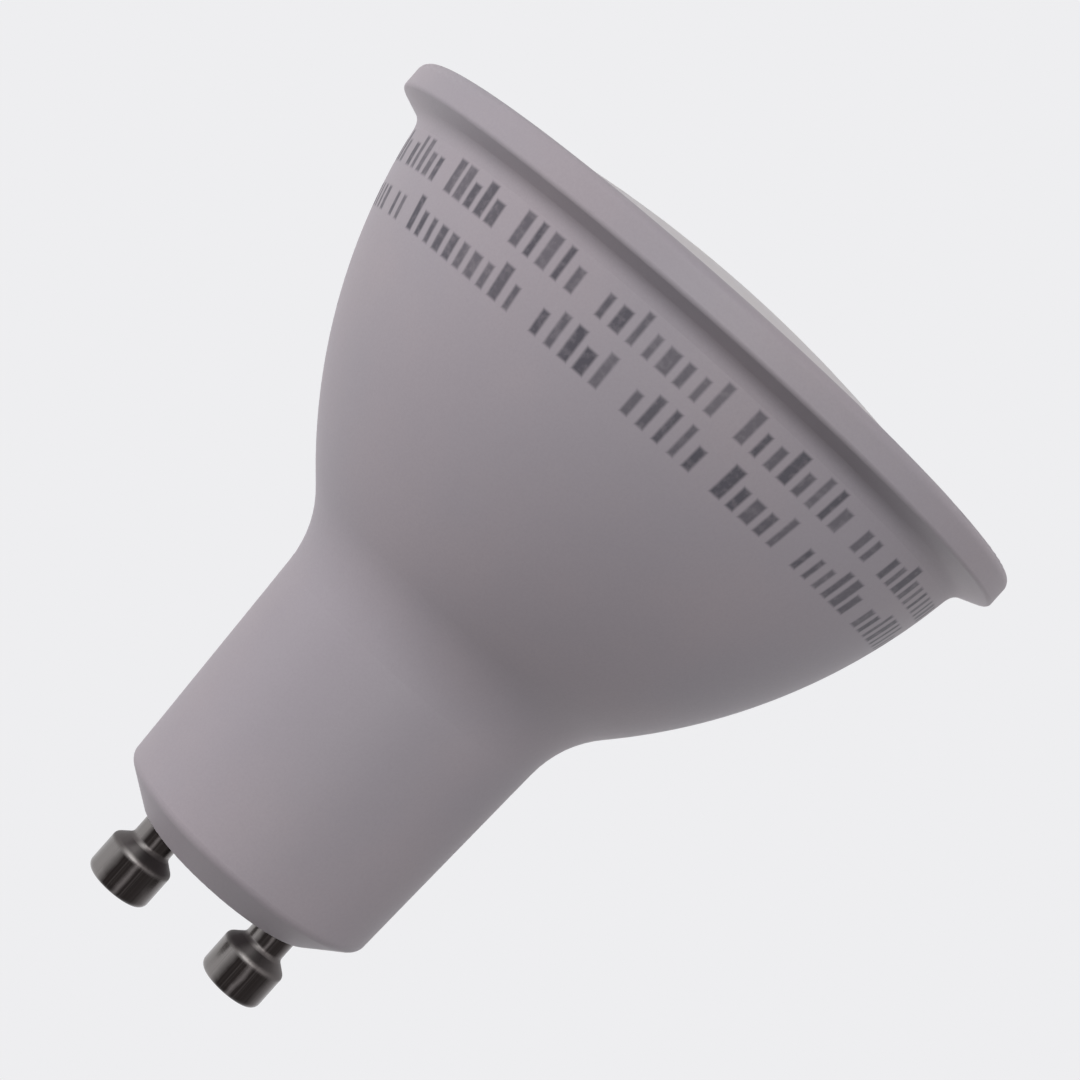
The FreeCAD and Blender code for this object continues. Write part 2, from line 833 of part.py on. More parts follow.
def build_package(kind, label, legs, depth):
    """A flat chip package with a row of legs along each long side, on the board's back face."""
    body = new_body(label)
    x = size(f"{kind}_width") / 2
    y = size(f"{kind}_length") / 2
    standoff = size("package_standoff")
    case = Outline(body, "XY_Plane", "Case", standoff)
    case.rectangle(-x, x, -y, y)
    pad(body, case, size(f"{kind}_height") - standoff)
    feet = Outline(body, "XY_Plane", "Feet")
    half_leg = size(f"{kind}_leg_width") / 2
    root = x - size("package_leg_root")
    reach = x + size("package_leg_reach")
    for number in range(legs):
        middle = size(f"{kind}_leg_pitch") * (number - (legs - 1) / 2)
        feet.rectangle(root, reach, middle - half_leg, middle + half_leg)
        feet.rectangle(-reach, -root, middle - half_leg, middle + half_leg)
    pad(body, feet, size("package_leg_thick"))
    on_board(body, ZERO, depth, back=True)


build_housing()
build_cover()
build_cup()
build_disc("thermal_pad", floor_front, size("thermal_pad_thick"))
build_disc("led_board", pad_front, size("led_board_thick"))
build_leds()
build_screws()
build_pins()
build_input_leads()
build_led_leads()
build_driver_board()
build_electrolytic()
build_choke()
build_film_capacitor()
build_resistor()
build_package("bridge", "bridge_rectifier", 2, bridge_depth)
build_package("chip", "driver_chip", 4, chip_depth)
doc.recompute()

for item in doc.Objects:
    if "Invalid" in item.State or "Error" in item.State:
        raise RuntimeError(f"{item.Label} failed: {item.State}")
for item in sub_parts:
    if item.Shape.isNull() or not item.Shape.isValid():
        raise RuntimeError(f"{item.Label} has no valid shape")

os.makedirs("parts", exist_ok=True)
for item in sub_parts:
    item.Shape.exportStep(f"parts/{item.Label}.step")
    print(item.Label, len(item.Shape.Solids), round(item.Shape.Volume, 2))
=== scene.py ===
"""Looks of a mains spotlight lamp: the finish of every piece, the floor, the light and the camera.

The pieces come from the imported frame, in metres, with the pins up and the milky dome down. Finishes are
written in millimetres, because a moulding's grain or a wire's turns are of that size.
"""

import logging
import math
from abc import ABC, abstractmethod
from dataclasses import dataclass
from enum import Enum
from typing import Any, Mapping, Sequence, Union

import bmesh
import bpy
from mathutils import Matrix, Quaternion, Vector


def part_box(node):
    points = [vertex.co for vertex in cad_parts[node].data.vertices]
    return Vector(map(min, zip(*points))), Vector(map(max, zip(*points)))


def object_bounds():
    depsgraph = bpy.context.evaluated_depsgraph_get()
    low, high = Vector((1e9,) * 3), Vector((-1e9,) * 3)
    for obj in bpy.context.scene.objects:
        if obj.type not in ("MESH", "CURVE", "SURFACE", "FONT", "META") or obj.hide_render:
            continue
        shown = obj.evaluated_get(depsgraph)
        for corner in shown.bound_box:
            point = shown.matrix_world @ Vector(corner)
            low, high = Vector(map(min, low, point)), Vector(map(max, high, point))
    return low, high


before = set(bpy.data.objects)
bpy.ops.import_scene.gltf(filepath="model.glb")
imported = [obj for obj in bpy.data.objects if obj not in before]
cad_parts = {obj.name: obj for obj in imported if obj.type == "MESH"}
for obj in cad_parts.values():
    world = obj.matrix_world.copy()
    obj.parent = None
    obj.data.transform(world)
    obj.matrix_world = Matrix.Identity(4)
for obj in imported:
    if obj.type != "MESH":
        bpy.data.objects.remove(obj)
CAD_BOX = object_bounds()

MM = 0.001
PER_METRE = 1000.0
FULL_TURN = 2 * math.pi
HALF = 0.5
LED_COUNT = 8
Colour = tuple[float, float, float, float]
Span = tuple[float, float]
Term = Union[float, int, "Socket"]
log = logging.getLogger("spotlight_lamp")


def srgb(red: int, green: int, blue: int) -> Colour:
    """Turns a colour as it is seen, 0 to 255, into the linear one that a shader takes.

    Args:
        red: Red, 0 to 255.
        green: Green, 0 to 255.
        blue: Blue, 0 to 255.

    Returns:
        The linear colour, opaque.
    """
    def linear(level: int) -> float:
        """One channel, by the sRGB curve."""
        share = level / 255
        return share / 12.92 if share <= 0.04045 else ((share + 0.055) / 1.055) ** 2.4

    return linear(red), linear(green), linear(blue), 1.0


class Op(Enum):
    """What a Math node works out."""

    ADD = "ADD"
    SUBTRACT = "SUBTRACT"
    MULTIPLY = "MULTIPLY"
    DIVIDE = "DIVIDE"
    REMAINDER = "FLOORED_MODULO"
    OVER = "GREATER_THAN"
    UNDER = "LESS_THAN"
    LARGER = "MAXIMUM"
    ABSOLUTE = "ABSOLUTE"
    FLOOR = "FLOOR"
    SINE = "SINE"
    ROOT = "SQRT"
    ANGLE = "ARCTAN2"
    SIGN = "SIGN"


class Socket:
    """A node's output. Arithmetic on it adds Math nodes to the same graph."""

    def __init__(self, graph: "Graph", source: bpy.types.NodeSocket) -> None:
        """Keeps the socket and its graph."""
        self.graph = graph
        self.source = source

    def math(self, operation: Op, *terms: Term) -> "Socket":
        """Adds one Math node.

        Args:
            operation: What the node works out.
            terms: Its inputs in order, numbers or sockets.

        Returns:
            The node's result.
        """
        return self.graph.node("ShaderNodeMath", {"operation": operation.value}, dict(enumerate(terms)))

    def __add__(self, other: Term) -> "Socket":
        """self + other"""
        return self.math(Op.ADD, self, other)

    def __radd__(self, other: Term) -> "Socket":
        """other + self"""
        return self.math(Op.ADD, other, self)

    def __sub__(self, other: Term) -> "Socket":
        """self - other"""
        return self.math(Op.SUBTRACT, self, other)

    def __rsub__(self, other: Term) -> "Socket":
        """other - self"""
        return self.math(Op.SUBTRACT, other, self)

    def __mul__(self, other: Term) -> "Socket":
        """self * other"""
        return self.math(Op.MULTIPLY, self, other)

    def __rmul__(self, other: Term) -> "Socket":
        """other * self"""
        return self.math(Op.MULTIPLY, other, self)

    def __truediv__(self, other: Term) -> "Socket":
        """self / other"""
        return self.math(Op.DIVIDE, self, other)

    def __rtruediv__(self, other: Term) -> "Socket":
        """other / self"""
        return self.math(Op.DIVIDE, other, self)

    def __mod__(self, other: Term) -> "Socket":
        """self % other, never negative"""
        return self.math(Op.REMAINDER, self, other)

    def __rmod__(self, other: Term) -> "Socket":
        """other % self, never negative"""
        return self.math(Op.REMAINDER, other, self)

    def __gt__(self, other: Term) -> "Socket":
        """1 where self is over other"""
        return self.math(Op.OVER, self, other)

    def __lt__(self, other: Term) -> "Socket":
        """1 where self is under other"""
        return self.math(Op.UNDER, self, other)

    def __or__(self, other: Term) -> "Socket":
        """The larger of two masks"""
        return self.math(Op.LARGER, self, other)

    def __ror__(self, other: Term) -> "Socket":
        """The larger of two masks"""
        return self.math(Op.LARGER, other, self)

    def __abs__(self) -> "Socket":
        """abs(self)"""
        return self.math(Op.ABSOLUTE, self)

    def floor(self) -> "Socket":
        """The whole number below."""
        return self.math(Op.FLOOR, self)

    def sign(self) -> "Socket":
        """1 above zero and -1 below it."""
        return self.math(Op.SIGN, self)

    def wave(self) -> "Socket":
        """The sine, moved into 0 to 1."""
        return self.math(Op.SINE, self) * HALF + HALF

    def rise(self, low: float, high: float) -> "Socket":
        """Goes smoothly from 0 at low to 1 at high.

        Args:
            low: Where it leaves 0.
            high: Where it reaches 1.

        Returns:
            The eased value.
        """
        settings = {"interpolation_type": "SMOOTHSTEP", "clamp": True}
        sockets = {"Value": self, "From Min": low, "From Max": high}
        return self.graph.node("ShaderNodeMapRange", settings, sockets)

    def below(self, high: float, soft: float) -> "Socket":
        """A soft-edged mask of what is under a value.

        Args:
            high: The value.
            soft: The width of the edge.

        Returns:
            1 under the value and 0 over it.
        """
        return 1 - self.rise(high - soft / 2, high + soft / 2)

    def between(self, low: float, high: float, soft: float) -> "Socket":
        """A soft-edged mask of the stretch from low to high.

        Args:
            low: The stretch's lower end.
            high: Its upper end.
            soft: The width of each edge.

        Returns:
            1 inside the stretch and 0 outside.
        """
        return self.rise(low - soft / 2, low + soft / 2) * self.below(high, soft)


@dataclass(frozen=True)
class Mottle:
    """Cloudy variation: its clouds' size in millimetres, its finer layers, and the span in which it shows."""

    size: float
    detail: float = 2.0
    span: Span = (0.0, 1.0)

    def shown(self, noise: Socket) -> Socket:
        """How far the noise shows, by the span."""
        return noise.rise(*self.span)


class Graph:
    """A node tree of a material or the world, to which nodes are added one at a time."""

    MIX_SHARE = 0
    MIX_FIRST = 6
    MIX_SECOND = 7
    MIX_RESULT = 2

    def __init__(self, tree: bpy.types.NodeTree) -> None:
        """Empties the tree."""
        self.tree = tree
        self.tree.nodes.clear()

    def node(self, kind: str, settings: Mapping[str, Any] | None = None,
             sockets: Mapping[int | str, Any] | None = None, out: int | str = 0) -> Socket | None:
        """Adds a node of any type.

        Args:
            kind: The node's type.
            settings: Its own settings, set first. "stops" gives a ramp's places and colours.
            sockets: Values or links of its inputs, by number or name.
            out: Which output is wanted.

        Returns:
            The wanted output, or None for a node that has none.
        """
        node = self.tree.nodes.new(kind)
        for name, value in (settings or {}).items():
            if name == "stops":
                self.set_stops(node.color_ramp, value)
            else:
                setattr(node, name, value)
        for key, value in (sockets or {}).items():
            if isinstance(value, Socket):
                self.tree.links.new(value.source, node.inputs[key])
            else:
                node.inputs[key].default_value = value
        return Socket(self, node.outputs[out]) if len(node.outputs) else None

    @staticmethod
    def set_stops(ramp: bpy.types.ColorRamp, stops: Sequence[tuple[float, Colour]]) -> None:
        """Gives a ramp its stops.

        Args:
            ramp: The ramp, with its two first stops.
            stops: Places from 0 to 1, and colours.
        """
        while len(ramp.elements) < len(stops):
            ramp.elements.new(1.0)
        for element, (place, colour) in zip(ramp.elements, stops):
            element.position = place
            element.color = colour

    def place(self) -> Socket:
        """The surface point in the part's frame, in millimetres, as a vector."""
        point = self.node("ShaderNodeTexCoord", out="Object")
        return self.node("ShaderNodeVectorMath", {"operation": "SCALE"}, {0: point, "Scale": PER_METRE})

    def axes(self, place: Socket) -> tuple[Socket, Socket, Socket]:
        """A vector's x, y and z."""
        split = self.node("ShaderNodeSeparateXYZ", sockets={0: place})
        outputs = split.source.node.outputs
        return Socket(self, outputs[0]), Socket(self, outputs[1]), Socket(self, outputs[2])

    def endways(self) -> Socket:
        """1 where the surface faces along z and 0 where it faces sideways."""
        normal = self.node("ShaderNodeTexCoord", out="Normal")
        return abs(self.axes(normal)[2])

    def polar(self, x: Socket, y: Socket) -> tuple[Socket, Socket]:
        """Distance from an axis, and the angle round it in radians.

        Args:
            x: First coordinate from the axis.
            y: Second coordinate from the axis.

        Returns:
            The distance and the angle.
        """
        square = x * x + y * y
        return square.math(Op.ROOT, square), x.math(Op.ANGLE, y, x)

    def noise(self, place: Socket, mottle: Mottle) -> Socket:
        """Cloudy noise.

        Args:
            place: Where it is looked up, in millimetres.
            mottle: Its size and detail.

        Returns:
            The noise, from 0 to 1.
        """
        sockets = {"Vector": place, "Scale": 1 / mottle.size, "Detail": mottle.detail}
        return self.node("ShaderNodeTexNoise", sockets=sockets)

    def lines(self, along: Socket, size: float, detail: float = 2.0) -> Socket:
        """Noise that changes along one direction only, such as marks left by a tool.

        Args:
            along: The coordinate that it changes along, in millimetres.
            size: Width of the marks in millimetres.
            detail: How many finer layers it has.

        Returns:
            The noise, from 0 to 1.
        """
        sockets = {"W": along, "Scale": 1 / size, "Detail": detail}
        return self.node("ShaderNodeTexNoise", {"noise_dimensions": "1D"}, sockets)

    def chance(self, number: Socket) -> Socket:
        """A fixed random value from 0 to 1 for each whole number."""
        return self.node("ShaderNodeTexWhiteNoise", {"noise_dimensions": "1D"}, {"W": number})

    def mix(self, share: Term, first: Any, second: Any) -> Socket:
        """Lays one colour over another.

        Args:
            share: How much of the second shows.
            first: The colour below.
            second: The colour above.

        Returns:
            The mixed colour.
        """
        sockets = {self.MIX_SHARE: share, self.MIX_FIRST: first, self.MIX_SECOND: second}
        return self.node("ShaderNodeMix", {"data_type": "RGBA"}, sockets, out=self.MIX_RESULT)

    def bump(self, height: Socket, depth: float) -> Socket:
        """Surface relief.

        Args:
            height: The relief from 0 to 1.
            depth: Its depth in millimetres.

        Returns:
            The normal that shows it.
        """
        sockets = {"Strength": 1.0, "Distance": depth * MM, "Height": height}
        return self.node("ShaderNodeBump", sockets=sockets)

    def surface(self, colour: Any, roughness: Socket, normal: Socket,
                others: Mapping[str, Any] | None = None) -> Socket:
        """The shader of a solid surface.

        Args:
            colour: Its colour.
            roughness: Its roughness.
            normal: Its relief.
            others: More of the shader's sockets, by name.

        Returns:
            The shader.
        """
        sockets = {"Base Color": colour, "Roughness": roughness, "Normal": normal, **(others or {})}
        return self.node("ShaderNodeBsdfPrincipled", sockets=sockets)


@dataclass(frozen=True)
class PackageRing:
    """The ring on which the light packages sit, in millimetres."""

    radius: float
    count: int = LED_COUNT

    def nearest(self, graph: Graph, x: Socket, y: Socket) -> tuple[Socket, Socket]:
        """Where a point lies from the nearest package's middle.

        Args:
            graph: The graph to add to.
            x: The point's x.
            y: The point's y.

        Returns:
            The distance along the ring, and the distance outward from it.
        """
        radius, angle = graph.polar(x, y)
        step = FULL_TURN / self.count
        return radius * ((angle % step) - step / 2), radius - self.radius


@dataclass(frozen=True)
class Finish(ABC):
    """A finish, named for the material slot that it dresses. Lengths are in millimetres."""

    slot: str

    @abstractmethod
    def paint(self, graph: Graph) -> Socket:
        """Adds the finish's nodes and returns its shader."""

    def material(self) -> bpy.types.Material:
        """Makes the material.

        Returns:
            A material with the finish's nodes.
        """
        material = bpy.data.materials.new(self.slot)
        material.use_nodes = True
        graph = Graph(material.node_tree)
        shader = self.paint(graph)
        graph.node("ShaderNodeOutputMaterial", sockets={"Surface": shader})
        return material


class Draw(Enum):
    """What a random draw of an ink row decides. The numbers keep the draws apart."""

    HEIGHT = 1
    WIDTH = 2
    GAP = 3
    WEIGHT = 4


@dataclass(frozen=True)
class InkRow:
    """A row of small plain ink blocks with uneven gaps, round the bell's front, in millimetres."""

    foot: float
    top: float
    radius: float
    seed: float
    pitch: float = 1.2
    narrow: float = 0.42
    wide: float = 0.88
    short: float = 0.7
    soft: float = 0.26
    run: int = 7
    tall_share: float = 0.35
    faint: float = 0.75
    middle: float = math.radians(-90)
    reach: float = math.radians(86)

    def draw(self, graph: Graph, number: Socket, what: Draw) -> Socket:
        """One random value from 0 to 1 for a block or a run of blocks.

        Args:
            graph: The graph to add to.
            number: The block's or the run's whole number.
            what: What the draw decides.

        Returns:
            The value.
        """
        return graph.chance(number + self.seed * what.value)

    def mask(self, graph: Graph, angle: Socket, depth: Socket) -> Socket:
        """Where the row's ink lies.

        Args:
            graph: The graph to add to.
            angle: Angle round the lamp in radians.
            depth: Depth below the base end in millimetres.

        Returns:
            The ink's weight on a block, and 0 beside it.
        """
        step = (angle - self.middle) * self.radius / self.pitch
        cell = step.floor()
        tall = self.draw(graph, cell, Draw.HEIGHT) < self.tall_share
        width = self.narrow + (self.wide - self.narrow) * self.draw(graph, cell, Draw.WIDTH)
        aside = abs(step - cell - HALF) * self.pitch - width / 2
        height = (self.top - self.foot) * (self.short + (1 - self.short) * tall)
        above = depth - self.foot
        outside = aside | (0 - above) | (above - height)
        group = (cell / self.run).floor()
        gap = (self.draw(graph, group, Draw.GAP) * self.run).floor()
        filled = abs(cell - group * self.run - gap) > HALF
        near = abs(angle - self.middle) < self.reach
        weight = self.faint + (1 - self.faint) * self.draw(graph, cell, Draw.WEIGHT)
        return outside.below(0, self.soft) * filled * near * weight


@dataclass(frozen=True)
class MouldedShell(Finish):
    """Satin moulded plastic with a fine grain, faint clouds in its colour, and rows of ink."""

    rows: tuple[InkRow, ...]
    cool: Colour = srgb(160, 153, 160)
    warm: Colour = srgb(165, 156, 162)
    shade: Colour = srgb(150, 143, 149)
    ink: Colour = srgb(64, 61, 70)
    cloud: Mottle = Mottle(16.0, 3.0, (0.35, 0.65))
    grain: Mottle = Mottle(0.16, 3.0, (0.3, 0.75))
    ripple: Mottle = Mottle(0.9, 1.0)
    wear: Mottle = Mottle(0.45, 2.0, (0.15, 0.6))
    grain_shade: float = 0.22
    ink_worn: float = 0.7
    ink_kept: float = 0.28
    rough: float = 0.44
    rough_grain: float = 0.1
    rough_cloud: float = 0.06
    rough_ink: float = 0.05
    grain_share: float = 0.35
    depth: float = 0.012
    bending: float = 1.52

    def paint(self, graph: Graph) -> Socket:
        """Grain, clouds and ink."""
        place = graph.place()
        x, y, z = graph.axes(place)
        angle = graph.polar(x, y)[1]
        cloud = graph.noise(place, self.cloud)
        grain = graph.noise(place, self.grain)
        ripple = graph.noise(place, self.ripple)
        body = graph.mix(self.cloud.shown(cloud), self.cool, self.warm)
        body = graph.mix(self.grain.shown(grain) * self.grain_shade, body, self.shade)
        ink = 0
        for row in self.rows:
            ink = row.mask(graph, angle, -1 * z) | ink
        kept = self.wear.shown(graph.noise(place, self.wear))
        colour = graph.mix(ink * (self.ink_worn + self.ink_kept * kept), body, self.ink)
        roughness = self.rough + self.rough_grain * grain + self.rough_cloud * cloud + self.rough_ink * ink
        relief = grain * self.grain_share + ripple * (1 - self.grain_share)
        return graph.surface(colour, roughness, graph.bump(relief, self.depth), {"IOR": self.bending})


@dataclass(frozen=True)
class MilkyCover(Finish):
    """Milky diffuser plastic, with the faint warmth of the light packages behind it."""

    ring: PackageRing
    milk: Colour = srgb(206, 200, 202)
    warm: Colour = srgb(208, 201, 188)
    spot: Span = (0.6, 3.6)
    cloud: Mottle = Mottle(7.0, 3.0, (0.3, 0.8))
    grain: Mottle = Mottle(0.3)
    spot_warmth: float = 0.45
    cloud_warmth: float = 0.08
    rough: float = 0.36
    rough_grain: float = 0.1
    rough_cloud: float = 0.05
    depth: float = 0.004
    bending: float = 1.5
    gloss: float = 0.2
    scatter: float = 0.3
    scatter_depth: float = 1.5
    scatter_colour: tuple[float, float, float] = (1.0, 0.92, 0.85)

    def paint(self, graph: Graph) -> Socket:
        """Milky body, warm spots and a faint moulded surface."""
        place = graph.place()
        x, y, _ = graph.axes(place)
        spot = 1 - graph.polar(*self.ring.nearest(graph, x, y))[0].rise(*self.spot)
        cloud = graph.noise(place, self.cloud)
        grain = graph.noise(place, self.grain)
        body = graph.mix(spot * self.spot_warmth, self.milk, self.warm)
        body = graph.mix(self.cloud.shown(cloud) * self.cloud_warmth, body, self.warm)
        roughness = self.rough + self.rough_grain * grain + self.rough_cloud * cloud
        return graph.surface(body, roughness, graph.bump(grain, self.depth), {
            "IOR": self.bending, "Specular IOR Level": self.gloss, "Subsurface Weight": self.scatter,
            "Subsurface Radius": self.scatter_colour, "Subsurface Scale": self.scatter_depth * MM})


@dataclass(frozen=True)
class TurnedMetal(Finish):
    """Plated metal with turning marks, bright ends, painted reflections in dark bands along it, and a painted
    glint on a dull shoulder.
    """

    axis_x: float
    # Painted reflection tones: light, middle and dark bands, then a pale tone for the painted glint and the
    # ends.
    bright: Colour = srgb(140, 136, 134)
    middle: Colour = srgb(98, 93, 92)
    dark: Colour = srgb(40, 36, 35)
    glint_and_end: Colour = srgb(186, 182, 179)
    bands: int = 2
    waver: float = 0.16
    cloud: Mottle = Mottle(1.1, 3.0)
    ring_width: float = 0.09
    ring_slant: float = 0.4
    scratch_radius: float = 2.4
    scratch_width: float = 0.12
    scratch_span: Span = (0.45, 0.75)
    scratch_cover: float = 0.25
    shoulder: Span = (1.95, 3.05)
    shoulder_soft: float = 0.4
    shoulder_cover: float = 0.8
    spot: Span = (0.36, 0.48)
    spot_soft: float = 0.14
    end_span: Span = (0.8, 0.97)
    end_cover: float = 0.75
    polish: float = 0.16
    rough_cloud: float = 0.1
    rough_rings: float = 0.05
    haze: float = 0.3
    depth: float = 0.003

    def stops(self) -> list[tuple[float, Colour]]:
        """One turn of a painted reflection band: bright, two dark stripes with a paler streak between them,
        and bright again.
        """
        return [
            (0.0, self.bright), (0.3, self.bright), (0.4, self.dark), (0.5, self.dark), (0.535, self.middle),
            (0.57, self.dark), (0.72, self.dark), (0.84, self.middle), (1.0, self.bright)]

    def paint(self, graph: Graph) -> Socket:
        """Rings from the tool, painted reflection bands with uneven edges, and a hazy shoulder with one
        painted glint.
        """
        place = graph.place()
        x, y, z = graph.axes(place)
        radius, angle = graph.polar(x - self.axis_x * x.sign(), y)
        rings = graph.lines(z + self.ring_slant * radius, self.ring_width)
        cloud = graph.noise(place, self.cloud)
        scratch = graph.lines(angle * self.scratch_radius, self.scratch_width).rise(*self.scratch_span)
        turn = FULL_TURN / self.bands
        # Painted reflections: bands of light and dark tone set by the angle round the pin.
        share = (((cloud - HALF) * self.waver - angle) % turn) / turn
        colour = graph.node("ShaderNodeValToRGB", {"stops": self.stops()}, {"Fac": share})
        colour = graph.mix(scratch * self.scratch_cover, colour, self.middle)
        # The shoulder is painted a mid tone, with one painted glint at a set angle round the pin.
        shoulder = z.between(*self.shoulder, self.shoulder_soft)
        patch = graph.mix(share.between(*self.spot, self.spot_soft), self.middle, self.glint_and_end)
        colour = graph.mix(shoulder * self.shoulder_cover, colour, patch)
        # Faces along the axis take the same pale tone as the painted glint.
        colour = graph.mix(graph.endways().rise(*self.end_span) * self.end_cover, colour, self.glint_and_end)
        roughness = self.polish + self.rough_cloud * cloud + self.rough_rings * rings + self.haze * shoulder
        return graph.surface(colour, roughness, graph.bump(rings, self.depth), {"Metallic": 1.0})


@dataclass(frozen=True)
class SpunAluminium(Finish):
    """Pressed aluminium, with drawing lines round the cup and a dull film."""

    metal: Colour = srgb(205, 206, 208)
    film: Colour = srgb(160, 162, 166)
    cloud: Mottle = Mottle(3.0, 4.0, (0.35, 0.75))
    film_cover: float = 0.6
    ring_width: float = 0.18
    ring_slant: float = 0.6
    rough: float = 0.3
    rough_cloud: float = 0.16
    rough_rings: float = 0.08
    depth: float = 0.006

    def paint(self, graph: Graph) -> Socket:
        """Drawing lines and film."""
        place = graph.place()
        x, y, z = graph.axes(place)
        radius = graph.polar(x, y)[0]
        rings = graph.lines(radius + z * self.ring_slant, self.ring_width)
        cloud = graph.noise(place, self.cloud)
        colour = graph.mix(self.cloud.shown(cloud) * self.film_cover, self.metal, self.film)
        roughness = self.rough + self.rough_cloud * cloud + self.rough_rings * rings
        return graph.surface(colour, roughness, graph.bump(rings, self.depth), {"Metallic": 1.0})


@dataclass(frozen=True)
class FilledSilicone(Finish):
    """Soft grey heat-conducting sheet, speckled with filler."""

    base: Colour = srgb(136, 140, 150)
    fleck: Colour = srgb(178, 180, 186)
    flecks: Mottle = Mottle(0.12, 2.0, (0.52, 0.72))
    weave: float = 9.0
    weave_share: float = 0.6
    rough: float = 0.7
    rough_fleck: float = 0.15
    depth: float = 0.02

    def paint(self, graph: Graph) -> Socket:
        """Flecks and a woven hint of relief."""
        place = graph.place()
        x, y, _ = graph.axes(place)
        fleck = graph.noise(place, self.flecks)
        weave = (x * self.weave).wave() * (y * self.weave).wave()
        colour = graph.mix(self.flecks.shown(fleck), self.base, self.fleck)
        relief = weave * self.weave_share + fleck * (1 - self.weave_share)
        return graph.surface(colour, self.rough + self.rough_fleck * fleck, graph.bump(relief, self.depth))


@dataclass(frozen=True)
class LightBoard(Finish):
    """White-masked round board, with tinned pads under the light packages and round the screws."""

    ring: PackageRing
    screw: float
    rim: float
    mask: Colour = srgb(236, 236, 232)
    tin: Colour = srgb(190, 188, 182)
    dust: Colour = srgb(170, 168, 160)
    pad_half: float = 1.6
    pad_reach: Span = (1.2, 2.25)
    washer: Span = (1.0, 2.3)
    bare_rim: Span = (0.25, 0.15)
    track_half: float = 0.9
    soft: float = 0.1
    track_soft: float = 0.15
    speck: Mottle = Mottle(0.25, 2.0, (0.55, 0.85))
    dust_cover: float = 0.12
    tin_metal: float = 0.9
    rough: float = 0.42
    rough_speck: float = 0.12
    tin_shine: float = 0.1
    track_height: float = 0.7
    speck_height: float = 0.2
    depth: float = 0.02

    def paint(self, graph: Graph) -> Socket:
        """Pads, tracks raised under the mask, and a bare metal rim."""
        place = graph.place()
        x, y, _ = graph.axes(place)
        aside, outward = self.ring.nearest(graph, x, y)
        pads = aside.between(-self.pad_half, self.pad_half, self.soft)
        pads = pads * abs(outward).between(*self.pad_reach, self.soft)
        washer = graph.polar(abs(x) - self.screw, y)[0].between(*self.washer, self.soft)
        inner, outer = self.bare_rim
        rim = graph.polar(x, y)[0].rise(self.rim - inner, self.rim - outer)
        bare = pads | washer | rim
        track = outward.between(-self.track_half, self.track_half, self.track_soft)
        speck = graph.noise(place, self.speck)
        colour = graph.mix(bare, self.mask, self.tin)
        colour = graph.mix(self.speck.shown(speck) * self.dust_cover, colour, self.dust)
        roughness = self.rough + self.rough_speck * speck - self.tin_shine * bare
        relief = track * self.track_height + speck * self.speck_height
        return graph.surface(colour, roughness, graph.bump(relief, self.depth), {
            "Metallic": bare * self.tin_metal})


@dataclass(frozen=True)
class LightPackage(Finish):
    """White package whose sunk round window is filled with yellow phosphor."""

    ring: PackageRing
    case: Colour = srgb(238, 236, 228)
    phosphor: Colour = srgb(236, 190, 62)
    deep: Colour = srgb(212, 156, 34)
    window: Span = (1.04, 1.12)
    grains: Mottle = Mottle(0.08, 2.0, (0.4, 0.7))
    rough: float = 0.5
    gel_shine: float = 0.25
    rough_grains: float = 0.1
    depth: float = 0.006

    def paint(self, graph: Graph) -> Socket:
        """Phosphor in the window, ceramic round it."""
        place = graph.place()
        x, y, _ = graph.axes(place)
        window = 1 - graph.polar(*self.ring.nearest(graph, x, y))[0].rise(*self.window)
        grains = graph.noise(place, self.grains)
        gel = graph.mix(self.grains.shown(grains), self.phosphor, self.deep)
        colour = graph.mix(window, self.case, gel)
        roughness = self.rough - self.gel_shine * window + self.rough_grains * grains
        return graph.surface(colour, roughness, graph.bump(grains, self.depth))


@dataclass(frozen=True)
class DriverBoard(Finish):
    """Green-masked glass laminate with copper tracks under the mask and tinned pads."""

    face_low: float
    face_high: float
    mask: Colour = srgb(34, 92, 52)
    track: Colour = srgb(58, 126, 66)
    tin: Colour = srgb(196, 194, 188)
    laminate: Colour = srgb(170, 156, 96)
    lane: float = 1.9
    lane_seed: int = 7
    lane_shift: float = 9.0
    repeat: float = 8.5
    run: Span = (0.6, 6.4)
    run_soft: float = 0.1
    track_half: float = 0.42
    track_soft: float = 0.06
    pad_place: float = 6.6
    pad: Span = (0.5, 0.56)
    skin: float = 0.03
    skin_soft: float = 0.02
    weave: float = 14.0
    tin_metal: float = 0.9
    rough: float = 0.32
    rough_side: float = 0.2
    rough_weave: float = 0.06
    track_height: float = 0.6
    tin_height: float = 0.3
    weave_height: float = 0.1
    depth: float = 0.03

    def paint(self, graph: Graph) -> Socket:
        """Tracks in lanes, pads where they end, and the bare laminate of the sides."""
        place = graph.place()
        x, y, z = graph.axes(place)
        draw = graph.chance((x / self.lane).floor() + self.lane_seed)
        across = abs((x % self.lane) - self.lane / 2)
        along = (z + self.lane_shift * draw) % self.repeat
        track = across.below(self.track_half, self.track_soft) * along.between(*self.run, self.run_soft)
        tin = 1 - graph.polar(across, along - self.pad_place)[0].rise(*self.pad)
        side = y.between(self.face_low + self.skin, self.face_high - self.skin, self.skin_soft)
        tinned = tin * (1 - side)
        weave = (x * self.weave).wave() * (z * self.weave).wave()
        colour = graph.mix(track, self.mask, self.track)
        colour = graph.mix(tinned, colour, self.tin)
        colour = graph.mix(side, colour, self.laminate)
        roughness = self.rough + self.rough_side * side + self.rough_weave * weave
        relief = track * self.track_height + tin * self.tin_height + weave * self.weave_height
        return graph.surface(colour, roughness, graph.bump(relief, self.depth), {
            "Metallic": tinned * self.tin_metal})


